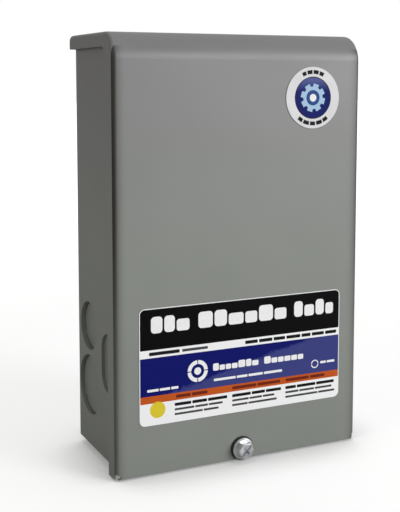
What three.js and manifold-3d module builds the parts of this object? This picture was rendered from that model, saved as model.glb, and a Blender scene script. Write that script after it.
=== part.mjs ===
// A magnetic motor starter for the wall: a folded steel base with a terminal block, and a hooked-on steel
// cover that carries the capacitor, the relay and the plug. Millimetres, +Z up, the wall is the plane y = 0
// and the front faces -Y.
import * as THREE from 'three';
import { mergeVertices } from 'three/addons/utils/BufferGeometryUtils.js';
import Module from 'manifold-3d';

const wasm = await Module();
wasm.setup();

// ---- driving dimensions ----

const SHEET = 1.2; // steel sheet
const GAP = 0.1; // between pieces that rest on each other
const TINY = 0.01;

const WIDTH = 154; // cover, outside
const HEIGHT = 242; // cover, from the front panel's lower edge to the hood
const FRONT = -76; // outside of the front panel
const TOP_BEND = 15; // outside radius of the bend from front to hood
const REAR_BEND = 3.5; // outside radius of the bend from hood to hook
const EDGE_BEND = 2.4; // outside radius along the cover's side edges
const FLANGE_DEPTH = 10.5; // side flanges behind the front panel
const NOTCH_TOP = 3; // top of the notches at the lower ends of the side bends
const HOOD_FLANGE = 8; // height of the hood's side flanges
const HOOK_DROP = 9.4; // height of the rear hook
const HOOK_BACK = -3.2; // outside of the rear hook
const CORNER_RADIUS = 6; // between the side flange and the hood flange
const PANEL_INSIDE = FRONT + SHEET;

const BASE_WIDTH = 148.4; // outside of the base's sides
const BASE_BACK = -6; // outside of the base's back
const BASE_FRONT = -73; // front edges of the base's sides
const BASE_BOTTOM = 3.8;
const BASE_TOP = 239.3;
const BASE_INSIDE = BASE_BACK - SHEET;
const SIDE_INSIDE = BASE_WIDTH / 2 - SHEET;

const WALL_PAD_Z = 40; // middle of the lower wall pad, which is the origin
const KEYHOLE_Z = 206;
const SCREW_Z = 6.3; // axis of the cover screw

const CELL_PITCH = 20;
const CELLS = [-2, -1, 0, 1, 2].map((step) => step * CELL_PITCH);

// ---- materials ----

function material(colour, roughness, metalness) {
  return new THREE.MeshStandardMaterial({ color: colour, roughness, metalness });
}

const FINISH = {
  paint: material(0x80847e, 0.45, 0.3),
  zinc: material(0xb9bcbe, 0.35, 0.9),
  brass: material(0xc9a24e, 0.35, 0.9),
  iron: material(0x6d6e70, 0.5, 0.8),
  copper: material(0xa5552c, 0.4, 0.7),
  aluminium: material(0xc4c6c8, 0.35, 0.85),
  blackPlastic: material(0x1b1b1d, 0.5, 0),
  greyPlastic: material(0x4d5054, 0.5, 0),
  creamPlastic: material(0xd9d2bd, 0.55, 0),
  rubber: material(0x111111, 0.8, 0),
  label: material(0xe9eaec, 0.4, 0),
  badge: material(0xd8dadd, 0.35, 0.2),
  green: material(0x1f8a3c, 0.4, 0.5),
};

// ---- solids ----

/** Six times the volume inside triangles, which is below zero when they face inwards. */
function signedVolume(points, triangles) {
  const [a, b, c] = [new THREE.Vector3(), new THREE.Vector3(), new THREE.Vector3()];
  let sum = 0;
  for (let i = 0; i < triangles.length; i += 3) {
    a.fromArray(points, 3 * triangles[i]);
    b.fromArray(points, 3 * triangles[i + 1]);
    c.fromArray(points, 3 * triangles[i + 2]);
    sum += a.dot(b.cross(c));
  }
  return sum;
}

/** A closed geometry as a solid that can be cut and joined. */
function solid(geometry) {
  const plain = geometry.clone();
  plain.deleteAttribute('normal');
  plain.deleteAttribute('uv');
  const merged = mergeVertices(plain, 1e-4);
  const points = new Float32Array(merged.attributes.position.array);
  const triangles = [];
  for (let i = 0; i < merged.index.count; i += 3) {
    const [a, b, c] = merged.index.array.slice(i, i + 3);
    if (a !== b && b !== c && c !== a) triangles.push(a, b, c);
  }
  if (signedVolume(points, triangles) < 0) triangles.reverse();
  const mesh = new wasm.Mesh({ numProp: 3, vertProperties: points, triVerts: new Uint32Array(triangles) });
  return new wasm.Manifold(mesh);
}

/** A solid as a geometry for a mesh. */
function geometryOf(body) {
  const mesh = body.getMesh();
  const geometry = new THREE.BufferGeometry();
  geometry.setAttribute('position', new THREE.BufferAttribute(new Float32Array(mesh.vertProperties), 3));
  geometry.setIndex(new THREE.BufferAttribute(new Uint32Array(mesh.triVerts), 1));
  geometry.computeVertexNormals();
  return geometry;
}

/** Joins solids. */
function join(...bodies) {
  return bodies.reduce((whole, body) => whole.add(body));
}

/** Cuts solids out of the first one. */
function cut(body, ...tools) {
  return tools.reduce((rest, tool) => rest.subtract(tool), body);
}

/** A block from its lowest to its highest corner. */
function block(x, y, z) {
  const geometry = new THREE.BoxGeometry(x[1] - x[0], y[1] - y[0], z[1] - z[0]);
  geometry.translate((x[0] + x[1]) / 2, (y[0] + y[1]) / 2, (z[0] + z[1]) / 2);
  return solid(geometry);
}

/** Turns a geometry made along local Z so that it lies along a row axis. */
function alongAxis(geometry, axis, from) {
  const frames = {
    x: [new THREE.Vector3(0, 1, 0), new THREE.Vector3(0, 0, 1), new THREE.Vector3(1, 0, 0)],
    y: [new THREE.Vector3(0, 0, 1), new THREE.Vector3(1, 0, 0), new THREE.Vector3(0, 1, 0)],
    z: [new THREE.Vector3(1, 0, 0), new THREE.Vector3(0, 1, 0), new THREE.Vector3(0, 0, 1)],
  };
  const basis = new THREE.Matrix4().makeBasis(...frames[axis]);
  basis.setPosition(frames[axis][2].clone().multiplyScalar(from));
  return geometry.applyMatrix4(basis);
}

/**
 * An outline pushed along a row axis. The outline's two coordinates are (y, z) for x, (z, x) for y and
 * (x, y) for z. A round above 0 rounds the edges at both ends.
 */
function prism(outline, axis, span, round = 0, curveSegments = 2) {
  const geometry = new THREE.ExtrudeGeometry(outline, {
    depth: span[1] - span[0] - 2 * round,
    curveSegments,
    bevelEnabled: round > 0,
    bevelThickness: round,
    bevelSize: round,
    bevelOffset: -round,
    bevelSegments: Math.ceil(round * 1.6),
  });
  return solid(alongAxis(geometry, axis, span[0] + round));
}

/** A rectangle with round corners, from its lowest to its highest values. */
function roundRect(u, v, radius) {
  const shape = new THREE.Shape();
  const quarter = Math.PI / 2;
  shape.absarc(u[1] - radius, v[0] + radius, radius, -quarter, 0, false);
  shape.absarc(u[1] - radius, v[1] - radius, radius, 0, quarter, false);
  shape.absarc(u[0] + radius, v[1] - radius, radius, quarter, 2 * quarter, false);
  shape.absarc(u[0] + radius, v[0] + radius, radius, 2 * quarter, 3 * quarter, false);
  shape.closePath();
  return shape;
}

/** A round bar along a row axis; centre is the two other coordinates in X, Y, Z order. */
function bar(axis, centre, span, radius, sides = 32) {
  const geometry = new THREE.CylinderGeometry(radius, radius, span[1] - span[0], sides);
  geometry.rotateX(Math.PI / 2);
  geometry.translate(0, 0, (span[1] - span[0]) / 2);
  const [a, b] = axis === 'y' ? [centre[1], centre[0]] : centre;
  geometry.translate(a, b, 0);
  return solid(alongAxis(geometry, axis, span[0]));
}

/** A turned piece about the Y axis through (x, z); the profile lists [radius, y] points. */
function turnedY(profile, x, z, sides = 32) {
  const points = profile.map(([radius, y]) => new THREE.Vector2(radius, y));
  const geometry = new THREE.LatheGeometry(points, sides);
  geometry.translate(x, 0, z);
  return solid(geometry);
}

// ---- the group ----

const starter = new THREE.Group();
starter.position.z = -WALL_PAD_Z;

/** Adds one named piece. */
function piece(name, body, finish, group = starter) {
  const mesh = new THREE.Mesh(geometryOf(body), FINISH[finish]);
  mesh.name = name;
  group.add(mesh);
  return mesh;
}

const base = new THREE.Group();
const cover = new THREE.Group();
starter.add(base, cover);

// ---- base: folded sheet ----

const KNOCKOUTS = [
  { y: -26, z: 74.5, radius: 14.1, depth: 2.6 },
  { y: -27, z: 39.7, radius: 17.45, depth: 2.2 },
];
const RECESS = { y: [-67.5, -47.5], z: [43.3, 76.3], depth: 1.8 };

/** A cup pressed inwards through a side wall, for the side at the given sign. */
function sideKnockout({ y, z, radius, depth }, sign) {
  const outside = (sign * BASE_WIDTH) / 2;
  const span = (from, to) => [outside - sign * from, outside - sign * to].sort((a, b) => a - b);
  return {
    add: bar('x', [y, z], span(0, depth + SHEET), radius + SHEET * 0.6, 40),
    remove: bar('x', [y, z], span(-TINY, depth), radius, 40),
  };
}

/** The oblong recess near the front of a side wall. */
function sideRecess(sign) {
  const outside = (sign * BASE_WIDTH) / 2;
  const span = (from, to) => [outside - sign * from, outside - sign * to].sort((a, b) => a - b);
  const outline = (grow) => {
    const y = [RECESS.y[0] - grow, RECESS.y[1] + grow];
    const z = [RECESS.z[0] - grow, RECESS.z[1] + grow];
    return roundRect(y, z, (y[1] - y[0]) / 2 - TINY);
  };
  return {
    add: prism(outline(SHEET * 0.6), 'x', span(0, RECESS.depth + SHEET), 0, 5),
    remove: prism(outline(0), 'x', span(-TINY, RECESS.depth), 0, 5),
  };
}

/** A hollow pad pressed out of the back, towards the wall. */
function wallPad(x, z) {
  const inset = (range, by) => [range[0] + by, range[1] - by];
  const corner = 9;
  const round = 2.4;
  const outer = prism(roundRect(z, x, corner), 'y', [2 * BASE_INSIDE, 0], round);
  const inner = prism(
    roundRect(inset(z, SHEET), inset(x, SHEET), corner - SHEET),
    'y',
    [3 * BASE_INSIDE, -SHEET],
    round - SHEET,
  );
  const behind = block([x[0] - 1, x[1] + 1], [BASE_INSIDE, 1], [z[0] - 1, z[1] + 1]);
  return { add: outer.intersect(behind), remove: inner };
}

/** The back and the two sides, folded from one sheet, with the shelf along the top. */
function foldedSheet() {
  const corner = 2.4;
  const ahead = -120;
  const half = BASE_WIDTH / 2;
  const tall = [BASE_BOTTOM, BASE_TOP];
  const outer = prism(roundRect([-half, half], [ahead, BASE_BACK], corner), 'z', tall);
  const inner = prism(
    roundRect([-SIDE_INSIDE, SIDE_INSIDE], [ahead - 9, BASE_INSIDE], corner - SHEET),
    'z',
    [tall[0] - 1, tall[1] + 1],
  );
  const front = block([-half - 1, half + 1], [ahead - 1, BASE_FRONT], [0, HEIGHT]);
  const sideTop = 236;
  const frontCorner = 17;
  const overSides = cut(
    block([-half - 1, half + 1], [ahead, BASE_BACK - corner], [sideTop - frontCorner, HEIGHT]),
    prism(
      roundRect([BASE_FRONT, BASE_BACK + 30], [sideTop - 4 * frontCorner, sideTop], frontCorner),
      'x',
      [-half - 2, half + 2],
    ),
  );
  const shelfDepth = 12;
  const shelf = block([-68, 68], [BASE_INSIDE - shelfDepth, BASE_INSIDE + TINY], [BASE_TOP - SHEET, BASE_TOP]);
  return cut(outer, inner, front, overSides).add(shelf);
}

/** The two slots and the keyhole for the wall screws. */
function wallScrewHoles() {
  const through = [-3, 1];
  const half = 3.2;
  const slots = [-36, 36].map((x) =>
    prism(roundRect([WALL_PAD_Z - 6, WALL_PAD_Z + 6], [x - half, x + half], half - TINY), 'y', through),
  );
  const headHole = bar('y', [0, KEYHOLE_Z - 3], through, 5.6);
  const neck = prism(roundRect([KEYHOLE_Z - 3, KEYHOLE_Z + 9], [-half, half], half - TINY), 'y', through);
  return [...slots, join(headHole, neck)];
}

function baseWrapper() {
  const stamped = [
    ...[-1, 1].flatMap((sign) => KNOCKOUTS.map((knockout) => sideKnockout(knockout, sign))),
    ...[-1, 1].map(sideRecess),
    wallPad([-48, 48], [WALL_PAD_Z - 12, WALL_PAD_Z + 12]),
    wallPad([-20, 20], [KEYHOLE_Z - 15, KEYHOLE_Z + 15]),
  ];
  const wrapper = stamped.reduce((body, stamp) => body.add(stamp.add).subtract(stamp.remove), foldedSheet());
  const through = [BASE_INSIDE - 1, BASE_BACK + 1];
  const groundHole = bar('y', [GROUND.x, GROUND.z], through, 2.5);
  const blockHoles = BLOCK_SCREW_X.map((x) => bar('y', [x, BLOCK.screwZ], through, 2.3));
  return cut(wrapper, ...wallScrewHoles(), groundHole, ...blockHoles);
}

// ---- base: bottom plate and clip nut ----

const PAN_TOP = 15.2;
const PAN_FRONT = -72.6;
const TAB_BOTTOM = 1.4;

function bottomPlate() {
  const side = SIDE_INSIDE - GAP;
  const rear = BASE_INSIDE - GAP;
  const corner = 2.4;
  const tall = [BASE_BOTTOM, PAN_TOP];
  const outer = prism(roundRect([-side, side], [PAN_FRONT, rear], corner), 'z', tall);
  const inner = prism(
    roundRect([-side + SHEET, side - SHEET], [PAN_FRONT + SHEET, rear - SHEET], corner - SHEET),
    'z',
    [tall[0] - 1, PAN_TOP - SHEET],
  );
  const tab = block([-9, 9], [PAN_FRONT, PAN_FRONT + SHEET], [TAB_BOTTOM, BASE_BOTTOM + 1]);
  const knockoutDepth = 1.8;
  const knockouts = [-32, 32].map((x) => ({
    add: bar('z', [x, -40], [PAN_TOP - SHEET, PAN_TOP + knockoutDepth], 14.1 + SHEET * 0.6, 40),
    remove: bar('z', [x, -40], [PAN_TOP - SHEET - TINY, PAN_TOP + knockoutDepth - SHEET], 14.1, 40),
  }));
  const pan = knockouts.reduce(
    (body, stamp) => body.add(stamp.add).subtract(stamp.remove),
    outer.subtract(inner).add(tab),
  );
  const reliefs = [-side + SHEET, side - SHEET].flatMap((x) =>
    [PAN_FRONT + SHEET, rear - SHEET].map((y) => bar('z', [x, y], [BASE_BOTTOM - 1, BASE_BOTTOM + 6], 1.8, 16)),
  );
  const screwHole = bar('y', [0, SCREW_Z], [PAN_FRONT - 1, PAN_FRONT + SHEET + 1], 3);
  return cut(pan, screwHole, ...reliefs);
}

/** The spring nut that straddles the bottom plate's tab. */
function clipNut() {
  const leaf = 0.8;
  const clearance = 0.15;
  const inside = [PAN_FRONT - clearance, PAN_FRONT + SHEET + clearance];
  const outside = [inside[0] - leaf, inside[1] + leaf];
  const top = 13;
  const bottom = TAB_BOTTOM - clearance;
  const strip = cut(
    prism(roundRect(outside, [bottom - leaf, top + 4], 1.3), 'x', [-6, 6]),
    block([-7, 7], inside, [bottom, top + 6]),
    block([-7, 7], [outside[0] - 1, outside[1] + 1], [top, top + 9]),
  );
  const barrel = bar('y', [0, SCREW_Z], [inside[1] + leaf / 2, outside[1] + 4], 4.2, 24);
  return join(strip, barrel).subtract(bar('y', [0, SCREW_Z], [outside[0] - 1, outside[1] + 5], 2.6, 24));
}

// ---- base: terminal block ----

const BLOCK = { x: 60, z: [82, 124], front: -27, barrierFront: -34, screwZ: 103 };
const BLOCK_SCREW_X = [-55.5, 55.5];
const TERMINAL = { screwZ: 94, half: 7, strip: [-28.3, -27.1], blade: [-44, -28], bladeZ: [107, 116] };
const GROUND = { x: 56, z: 62 };

function terminalBlock() {
  const rear = BASE_INSIDE - GAP;
  const plinth = prism(roundRect(BLOCK.z, [-BLOCK.x, BLOCK.x], 2), 'y', [BLOCK.front, rear], 0.5);
  const wall = 1.8;
  const edges = [...CELLS, 3 * CELL_PITCH].map((x) => x - CELL_PITCH / 2);
  const barriers = edges.map((x) =>
    block([x - wall / 2, x + wall / 2], [BLOCK.barrierFront, BLOCK.front + 1], [BLOCK.z[0] + 1, BLOCK.z[1] - 1]),
  );
  const screwHoles = CELLS.map((x) => bar('y', [x, TERMINAL.screwZ], [BLOCK.front - 1, -12], 2.3, 20));
  const mountingHoles = BLOCK_SCREW_X.map((x) => bar('y', [x, BLOCK.screwZ], [BLOCK.front - 1, rear + 1], 2.3, 20));
  const hollow = block([-BLOCK.x + 8, BLOCK.x - 8], [-10.5, rear + 1], [BLOCK.z[0] + 4, BLOCK.z[1] - 4]);
  return cut(join(plinth, ...barriers), ...screwHoles, ...mountingHoles, hollow);
}

/** A terminal's flat strip with the blade that stands up from it. */
function terminalBlade(x) {
  const [rear, front] = [TERMINAL.strip[1], TERMINAL.strip[0]];
  const strip = block([x - TERMINAL.half, x + TERMINAL.half], [front, rear], [86, 119]);
  const half = 0.4;
  const tip = prism(
    roundRect([TERMINAL.blade[0], TERMINAL.blade[1] + 4], TERMINAL.bladeZ, 1.2),
    'x',
    [x - half, x + half],
  ).intersect(block([x - 1, x + 1], [TERMINAL.blade[0] - 1, front + TINY], [80, 130]));
  const hole = bar('y', [x, TERMINAL.screwZ], [front - 1, rear + 1], 2.3, 20);
  return join(strip, tip).subtract(hole);
}

/** The ribbed saddle that a terminal screw presses on the wire. */
function terminalClamp(x) {
  const rear = TERMINAL.strip[0] - GAP;
  const thick = 1.1;
  const plate = block([x - 6, x + 6], [rear - thick, rear], [TERMINAL.screwZ - 6, TERMINAL.screwZ + 6]);
  const lips = [-1, 1].map((sign) => {
    const edge = x + sign * 6;
    return block([Math.min(edge, edge - sign), Math.max(edge, edge - sign)], [rear - thick - 1, rear - thick + TINY], [
      TERMINAL.screwZ - 6,
      TERMINAL.screwZ + 6,
    ]);
  });
  const hole = bar('y', [x, TERMINAL.screwZ], [rear - 4, rear + 1], 2.3, 20);
  return join(plate, ...lips).subtract(hole);
}

/** A slotted screw along Y at (x, z). The head stands from y = under on the side that way points to. */
function slottedScrew(x, z, under, way, head, shank) {
  const top = under + way * head.height;
  const body = turnedY(
    [
      [0, shank.tip],
      [shank.radius - 0.5, shank.tip],
      [shank.radius, shank.tip + way * 0.8],
      [shank.radius, under],
      [head.radius, under],
      [head.radius, under + way * head.height * 0.55],
      [head.radius * 0.82, top],
      [0, top],
    ],
    x,
    z,
    16,
  );
  const depth = [under + way * head.height * 0.5, top + way].sort((a, b) => a - b);
  return body.subtract(block([x - head.radius - 1, x + head.radius + 1], depth, [z - 0.6, z + 0.6]));
}

/** The hexagon earthing screw and its cup washer, on the back panel. */
function groundScrew() {
  const under = BASE_INSIDE - GAP - 2.2;
  const hexagon = bar('y', [GROUND.x, GROUND.z], [under - 4, under], 5.2, 6);
  const shank = bar('y', [GROUND.x, GROUND.z], [under - TINY, -1.5], 2.3, 20);
  const slot = block([GROUND.x - 7, GROUND.x + 7], [under - 5, under - 2.6], [GROUND.z - 0.6, GROUND.z + 0.6]);
  return join(hexagon, shank).subtract(slot);
}

function groundWasher() {
  const rear = BASE_INSIDE - GAP;
  return turnedY(
    [
      [2.6, rear],
      [2.6, rear - 2],
      [5.4, rear - 2],
      [7, rear - 0.9],
      [7, rear],
      [2.6, rear],
    ],
    GROUND.x,
    GROUND.z,
  );
}

// ---- cover: drawn sheet ----

/** The outline of the cover seen from the side, shrunk by an inset, running on past its lower edge. */
function coverOutline(inset) {
  const shape = new THREE.Shape();
  const front = FRONT + inset;
  const top = HEIGHT - inset;
  const rear = HOOK_BACK - inset;
  const below = -30;
  shape.moveTo(front, below);
  shape.lineTo(rear, below);
  shape.absarc(rear - REAR_BEND + inset, top - REAR_BEND + inset, REAR_BEND - inset, 0, Math.PI / 2, false);
  shape.absarc(front + TOP_BEND - inset, top - TOP_BEND + inset, TOP_BEND - inset, Math.PI / 2, Math.PI, false);
  shape.closePath();
  return shape;
}

function coverShell() {
  const half = WIDTH / 2;
  const smooth = 8;
  const outer = prism(coverOutline(0), 'x', [-half, half], EDGE_BEND, smooth);
  const inner = prism(coverOutline(SHEET), 'x', [-half + SHEET, half - SHEET], EDGE_BEND - SHEET, smooth);
  const wide = [-half - 1, half + 1];
  const hookFront = HOOK_BACK - SHEET;
  const flangeRear = FRONT + FLANGE_DEPTH;
  const hoodEdge = HEIGHT - HOOD_FLANGE;
  const opening = roundRect([flangeRear, 40], [-90, hoodEdge], CORNER_RADIUS);
  const sides = prism(opening, 'x', wide, 0, 6);
  const keepHook = block([-half + 5, half - 5], [hookFront - TINY, 0], [HEIGHT - HOOK_DROP, HEIGHT]);
  const belowPanel = block(wide, [FRONT - 1, 1], [-60, 0]);
  const notches = [-1, 1].map((sign) => {
    const x = [sign * (half - 1.8), sign * (half + 1)].sort((a, b) => a - b);
    return block(x, [FRONT - 1, FRONT + EDGE_BEND], [-1, NOTCH_TOP]);
  });
  const reliefs = [-1, 1].map((sign) => bar('y', [sign * (half - 2.4), 1.6], [FRONT - 1, FRONT + 4], 1, 16));
  const holes = [
    bar('y', [0, SCREW_Z], [FRONT - 1, PANEL_INSIDE + 1], 3.2),
    ...RELAY_SCREWS.map(([x, z]) => bar('y', [x, z], [FRONT + 0.5, PANEL_INSIDE + 1], 1.7, 16)),
  ];
  return cut(outer, inner, sides.subtract(keepHook), belowPanel, ...notches, ...reliefs, ...holes);
}

// ---- cover: labels ----

const LABEL = { x: [-62.9, 64.9], z: [27.9, 93.1], corner: 3.2, thick: 0.3 };
const BADGE = { x: 44.9, z: 206.2, radius: 17.6, thick: 0.4 };
const LABEL_REST = 0.05;

function frontLabel() {
  const rear = FRONT - LABEL_REST;
  return prism(roundRect(LABEL.z, LABEL.x, LABEL.corner), 'y', [rear - LABEL.thick, rear]);
}

function roundBadge() {
  const rear = FRONT - LABEL_REST;
  return bar('y', [BADGE.x, BADGE.z], [rear - BADGE.thick, rear], BADGE.radius, 64);
}

function diagramLabel() {
  const front = PANEL_INSIDE + LABEL_REST;
  return prism(roundRect([28, 84], [-46, 46], LABEL.corner), 'y', [front, front + LABEL.thick]);
}

// ---- cover: screw and seal ----

const SEAL_FRONT = FRONT - GAP - 1.4;

function sealWasher() {
  const rear = FRONT - GAP;
  return turnedY(
    [
      [2.75, rear],
      [2.75, SEAL_FRONT],
      [6.5, SEAL_FRONT],
      [7, SEAL_FRONT + 0.5],
      [7, rear],
      [2.75, rear],
    ],
    0,
    SCREW_Z,
    40,
  );
}

/** The hexagon washer-head screw that holds the cover shut, with a threaded shank. */
function coverScrew() {
  const under = SEAL_FRONT - GAP;
  const flange = 1.1;
  const hexHeight = 3.6;
  const threadOut = 2.4;
  const threadIn = 2.05;
  const pitch = 1.058;
  const tip = -66.2;
  const profile = [
    [0, tip],
    [1.4, tip],
  ];
  for (let y = tip - 1; y > -75.5; y -= pitch) {
    profile.push([threadIn, y], [threadOut, y - pitch / 2]);
  }
  profile.push([threadIn, -76], [threadIn, under], [6.35, under], [6.35, under - 0.4]);
  profile.push([5.4, under - flange], [0, under - flange]);
  const body = turnedY(profile, 0, SCREW_Z);
  const hexFlats = 8.6;
  const hexagon = bar('y', [0, SCREW_Z], [under - flange - hexHeight, under - flange + TINY], hexFlats / Math.sqrt(3), 6);
  const dome = turnedY(
    [
      [0, under],
      [5.4, under],
      [5.4, under - flange - hexHeight * 0.72],
      [4.1, under - flange - hexHeight],
      [0, under - flange - hexHeight],
    ],
    0,
    SCREW_Z,
  );
  const face = under - flange - hexHeight;
  const slotGeometry = new THREE.BoxGeometry(12, 3.4, 1.3);
  slotGeometry.rotateY(-Math.PI / 4);
  slotGeometry.translate(0, face, SCREW_Z);
  const crossGeometry = new THREE.BoxGeometry(4.6, 4.4, 1.3);
  crossGeometry.rotateY(Math.PI / 4);
  crossGeometry.translate(0, face, SCREW_Z);
  return cut(join(body, hexagon.intersect(dome)), solid(slotGeometry), solid(crossGeometry));
}

// ---- cover: capacitor ----

const CAN = { x: -35, y: -55, radius: 18.25, z: [148, 214] };
const STRAP = { z: [174, 188], half: 19.7 };

function capacitorCan() {
  const points = [
    [0, CAN.z[0] + 0.6],
    [CAN.radius - 2, CAN.z[0] + 0.6],
    [CAN.radius - 1, CAN.z[0]],
    [CAN.radius, CAN.z[0] + 1],
    [CAN.radius, CAN.z[1] - 2],
    [CAN.radius - 0.6, CAN.z[1] - 0.6],
    [CAN.radius - 2, CAN.z[1]],
    [0, CAN.z[1]],
  ].map(([radius, z]) => new THREE.Vector2(radius, z));
  const geometry = new THREE.LatheGeometry(points, 48);
  geometry.rotateX(Math.PI / 2);
  geometry.translate(CAN.x, CAN.y, 0);
  return solid(geometry);
}

/** The insulating boot over the capacitor's terminals, open below. */
function capacitorEndCap() {
  const top = CAN.z[0] - GAP;
  const bottom = top - 16;
  const outer = bar('z', [CAN.x, CAN.y], [bottom, top], CAN.radius - 0.2, 48);
  const inner = bar('z', [CAN.x, CAN.y], [bottom - 1, top - 2], CAN.radius - 2, 48);
  const slots = [-8, 8].map((dx) => block([CAN.x + dx - 0.6, CAN.x + dx + 0.6], [-58.4, -51.6], [top - 3, top + 1]));
  return cut(outer, inner, ...slots);
}

/** One push-on tab of the capacitor, which stands down out of its end. */
function capacitorTab(dx) {
  const x = CAN.x + dx;
  return block([x - 0.4, x + 0.4], [CAN.y - 3.15, CAN.y + 3.15], [CAN.z[0] - 13, CAN.z[0] - GAP + 0.05]);
}

function capacitorStrap() {
  const half = STRAP.half;
  const foot = 12;
  const rear = CAN.y + half;
  const panel = PANEL_INSIDE + GAP;
  const outer = prism(roundRect([CAN.x - half, CAN.x + half], [panel - 2 * half, rear], half - TINY), 'z', STRAP.z, 0, 10);
  const bore = CAN.radius + 0.2;
  const inner = prism(
    roundRect([CAN.x - bore, CAN.x + bore], [panel - 2 * half - 9, CAN.y + bore], bore - TINY),
    'z',
    [STRAP.z[0] - 1, STRAP.z[1] + 1],
    0,
    10,
  );
  const ahead = block([CAN.x - 40, CAN.x + 40], [panel - 60, panel], [STRAP.z[0] - 1, STRAP.z[1] + 1]);
  const feet = [-1, 1].map((sign) => {
    const x = [CAN.x + sign * (half - 0.6), CAN.x + sign * (half + foot)].sort((a, b) => a - b);
    return block(x, [panel, panel + SHEET], STRAP.z);
  });
  return cut(join(outer, ...feet), inner, ahead);
}

// ---- cover: plug ----

const PLUG = { z: [101, 121], y: [-54.2, -36], half: 49, slotHalf: 2.6, floor: -51.6 };
const BRACKET = { half: 52.5, web: [-55.6, -54.4], z: [99, 123] };
const WINDOW = { half: 43, z: [104, 118] };
const CONTACT = { z: [107.5, 115.5], tail: -63, y: [-51.4, -37] };

/** The hat-shaped bracket that holds the plug off the front panel. */
function plugBracket() {
  const { half, web, z } = BRACKET;
  const panel = PANEL_INSIDE + GAP;
  const top = block([-half, half], web, z);
  const legs = [-1, 1].map((sign) => {
    const x = [sign * half, sign * (half - SHEET)].sort((a, b) => a - b);
    return block(x, [panel, web[1]], z);
  });
  const feet = [-1, 1].map((sign) => {
    const x = [sign * (half - SHEET), sign * (half + 14)].sort((a, b) => a - b);
    return block(x, [panel, panel + SHEET], z);
  });
  const window = block([-WINDOW.half, WINDOW.half], [web[0] - 1, web[1] + 1], WINDOW.z);
  return cut(join(top, ...legs, ...feet), window);
}

/** The moulded plug, with one slot from top to bottom for each blade. */
function plugHousing() {
  const body = prism(roundRect(PLUG.z, [-PLUG.half, PLUG.half], 1.5), 'y', PLUG.y, 0.4);
  const slots = CELLS.map((x) =>
    block([x - PLUG.slotHalf, x + PLUG.slotHalf], [PLUG.floor, PLUG.y[1] + 1], [PLUG.z[0] - 1, PLUG.z[1] + 1]),
  );
  const tailSlots = CELLS.map((x) =>
    block([x - 0.7, x + 0.7], [PLUG.y[0] - 1, PLUG.floor + 1], [CONTACT.z[0] - 0.3, CONTACT.z[1] + 0.3]),
  );
  const lightening = [-30, -10, 10, 30].map((x) => block([x - 4.5, x + 4.5], [-50, PLUG.y[1] + 1], [104, 118]));
  const lugs = [-1, 1].map((sign) => {
    const edge = sign * (WINDOW.half - 0.3);
    const arm = [edge, edge - sign * 2].sort((a, b) => a - b);
    const barb = [edge + sign * 1.5, edge - sign * 2].sort((a, b) => a - b);
    const tip = BRACKET.web[0] - 1.8;
    return join(
      block(arm, [tip, PLUG.y[0] + 1], [107, 115]),
      block(barb, [tip, BRACKET.web[0] - 0.3], [107, 115]),
    );
  });
  return cut(join(body, ...lugs), ...slots, ...tailSlots, ...lightening);
}

/** A forked spring contact that grips a blade from both sides, and its tail. */
function plugContact(x) {
  const [front, rear] = CONTACT.y;
  const thick = 0.5;
  const half = 2.3;
  const pinch = 0.75;
  const pinchAt = rear - 3.5;
  const side = (sign) => {
    const shape = new THREE.Shape();
    shape.moveTo(x + sign * (half - thick), front);
    shape.lineTo(x + sign * half, front);
    shape.lineTo(x + sign * half, front + 4);
    shape.lineTo(x + sign * (pinch + thick), pinchAt);
    shape.lineTo(x + sign * (half - 0.2), rear);
    shape.lineTo(x + sign * (half - 0.2 - thick), rear);
    shape.lineTo(x + sign * pinch, pinchAt);
    shape.lineTo(x + sign * (half - thick), front + 4);
    shape.closePath();
    return prism(shape, 'z', CONTACT.z);
  };
  const web = block([x - half, x + half], [front, front + thick], CONTACT.z);
  const tail = block([x - 0.4, x + 0.4], [CONTACT.tail, front + thick], CONTACT.z);
  return join(side(-1), side(1), web, tail);
}

// ---- cover: relay ----

const RELAY = { x: 35, z: [142, 204], half: 22, seat: PANEL_INSIDE + GAP, deep: 4, rear: -38 };
const RELAY_MIDDLE = (RELAY.z[0] + RELAY.z[1]) / 2;
const RELAY_SCREWS = [-1, 1].map((sign) => [RELAY.x + sign * 27, RELAY_MIDDLE]);
const RELAY_FLOOR = RELAY.seat + RELAY.deep + GAP; // inner pieces rest here
const COIL = { y: -55, z: [160, 184] };
const FRAME = { half: 9, thick: 1.6, top: 188.5 };
const ARMATURE = { z: [188.7, 190.3], rear: COIL.y + 8 };
const CONTACT_Y = -43.5;
const TAB = { half: 3.15, thick: 0.8, bottom: RELAY.z[0] - 11 };
const TAB_X = { arm: RELAY.x - 12.4, coil: RELAY.x, fixed: RELAY.x + 12.4 };

/** The relay's moulded base, with a screw ear at each side. */
function relayBase() {
  const { x, z, half, seat, deep } = RELAY;
  const plate = prism(roundRect(z, [x - half, x + half], 2), 'y', [seat, seat + deep], 0.4);
  const ears = RELAY_SCREWS.map(([at, height]) =>
    prism(roundRect([height - 6, height + 6], [at - 6, at + 6], 5), 'y', [seat, seat + deep - 1]),
  );
  const holes = RELAY_SCREWS.map(([at, height]) => bar('y', [at, height], [seat - 1, seat + 9], 1.9, 16));
  return cut(join(plate, ...ears), ...holes);
}

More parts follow.
